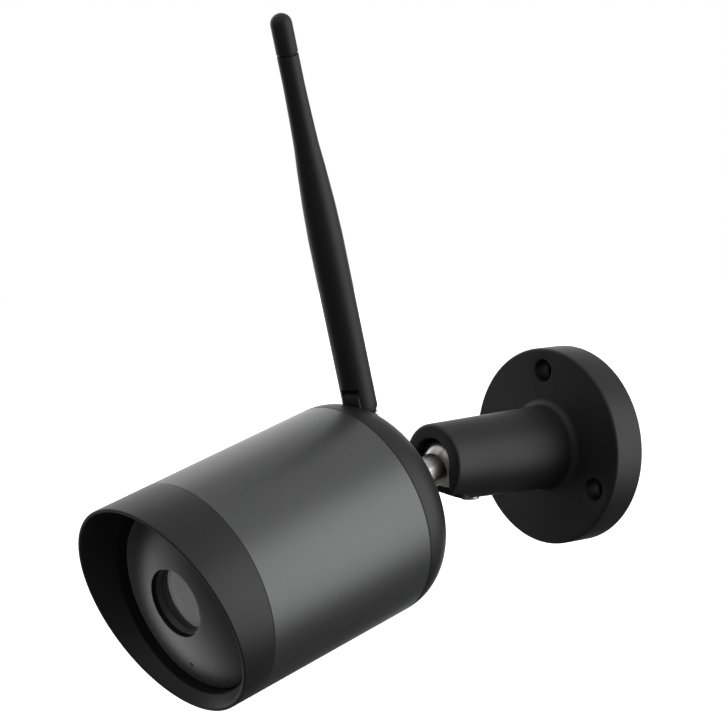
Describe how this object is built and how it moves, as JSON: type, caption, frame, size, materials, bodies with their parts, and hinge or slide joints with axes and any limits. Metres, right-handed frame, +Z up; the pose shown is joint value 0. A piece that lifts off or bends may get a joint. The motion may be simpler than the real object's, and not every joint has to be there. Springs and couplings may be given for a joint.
{
  "type": "wall-mounted security camera",
  "caption": "Outdoor bullet security camera: round barrel head with slanted rain hood, folding stub antenna and a ball-joint arm on a round wall plate.",
  "frame": {"origin": "centre of the wall plate's back face", "axes": "+Z up, -Y straight out of the wall, +X to the right of someone looking at the wall"},
  "size_m": [0.0668, 0.1801, 0.1948],
  "materials": {
    "bracket_paint": "satin powder coat",
    "nylon": "natural",
    "steel": "zinc plated",
    "polished_steel": "polished",
    "shell_plastic": "fine moulded texture",
    "barrel_metal": "dark anodised satin",
    "face_plastic": "satin, lets infrared through",
    "rubber": "matte",
    "bezel_plastic": "satin",
    "glass": "clear",
    "lens_metal": "black anodised",
    "coated_glass": "coated",
    "inner_plastic": "moulded",
    "filter_glass": "cut filter and clear blank",
    "copper": "enamelled winding",
    "sensor": "silicon under glass",
    "board": "solder mask",
    "led_epoxy": "tinted epoxy",
    "brass": "plain",
    "chip": "moulded",
    "bare_aluminium": "extruded",
    "shield": "tinned can",
    "antenna_plastic": "soft matte"
  },
  "bodies": {
    "bracket": {"wall_bracket": "bracket_paint"},
    "liner": {"socket_liner": "nylon"},
    "stud": {"ball_stud": "polished_steel", "stud_nut": "steel"},
    "head": {"stud_washer": "steel", "rear_cap": "shell_plastic", "barrel": "barrel_metal", "visor": "shell_plastic", "front_panel": "face_plastic", "front_seal": "rubber", "rear_seal": "rubber", "window_bezel": "bezel_plastic", "lens_window": "glass", "window_gasket": "rubber", "light_hood": "rubber", "lens_barrel": "lens_metal", "front_element": "coated_glass", "rear_element": "coated_glass", "element_spacer": "lens_metal", "lens_lock_ring": "lens_metal", "lens_holder": "inner_plastic", "filter_coil": "copper", "image_sensor": "sensor", "sensor_board": "board", "led_board": "board", "infrared_leds": "led_epoxy", "daylight_sensor": "led_epoxy", "microphone": "steel", "microphone_boot": "rubber", "board_standoffs": "brass", "main_board": "board", "processor": "chip", "heat_sink": "bare_aluminium", "wifi_module": "shield", "board_chips": "chip", "lead_socket": "inner_plastic", "inner_chassis": "inner_plastic", "rear_cap_screws": "steel", "cable_gland": "rubber", "gland_nut": "inner_plastic", "antenna_seal": "rubber"},
    "aerial_base": {"antenna_base": "antenna_plastic", "antenna_clip": "steel"},
    "aerial": {"antenna_mast": "antenna_plastic", "antenna_pin": "steel", "antenna_tip": "antenna_plastic", "antenna_rod": "brass"},
    "filter": {"filter_slider": "inner_plastic", "filter_glasses": "filter_glass"},
    "clamp": {"clamp_shoe": "steel"},
    "screw": {"lock_screw": "steel"}
  },
  "joints": [
    {"name": "pan", "type": "hinge", "parent": "bracket", "child": "liner", "pos_m": [0, -0.0527, 0], "axis": [0, 0, 1], "range_deg": [-12, 12]},
    {"name": "tilt", "type": "hinge", "parent": "liner", "child": "stud", "pos_m": [0, -0.0527, 0], "axis": [-0.9999, -0.0115, 0], "range_deg": [-45, 24]},
    {"name": "roll", "type": "hinge", "parent": "stud", "child": "head", "pos_m": [0, -0.0527, 0], "axis": [0.0111, -0.9668, -0.2554], "range_deg": [-170, 170]},
    {"name": "antenna_swivel", "type": "hinge", "parent": "head", "child": "aerial_base", "pos_m": [0.00288, -0.09032, 0.01683], "axis": [0.097, -0.2532, 0.9625], "range_deg": [-65, 25]},
    {"name": "antenna_fold", "type": "hinge", "parent": "aerial_base", "child": "aerial", "pos_m": [0.00341, -0.09171, 0.02212], "axis": [-0.9314, -0.364, -0.0019], "range_deg": [-6, 64]},
    {"name": "lock_screw_turn", "type": "hinge", "parent": "clamp", "child": "screw", "pos_m": [0, -0.0449, 0], "axis": [0, 0, -1], "range_deg": [-720, 0]},
    {"name": "clamp_shoe_slide", "type": "slide", "parent": "bracket", "child": "clamp", "axis": [0, 0, -1], "range_m": [0, 0.0016]},
    {"name": "filter_slide", "type": "slide", "parent": "head", "child": "filter", "axis": [0.9952, 0.0355, -0.091], "range_m": [0, 0.006]}
  ],
  "couplings": [
    {"joint": "lock_screw_turn", "follows": "clamp_shoe_slide", "rad_per_m": -7854}
  ]
}
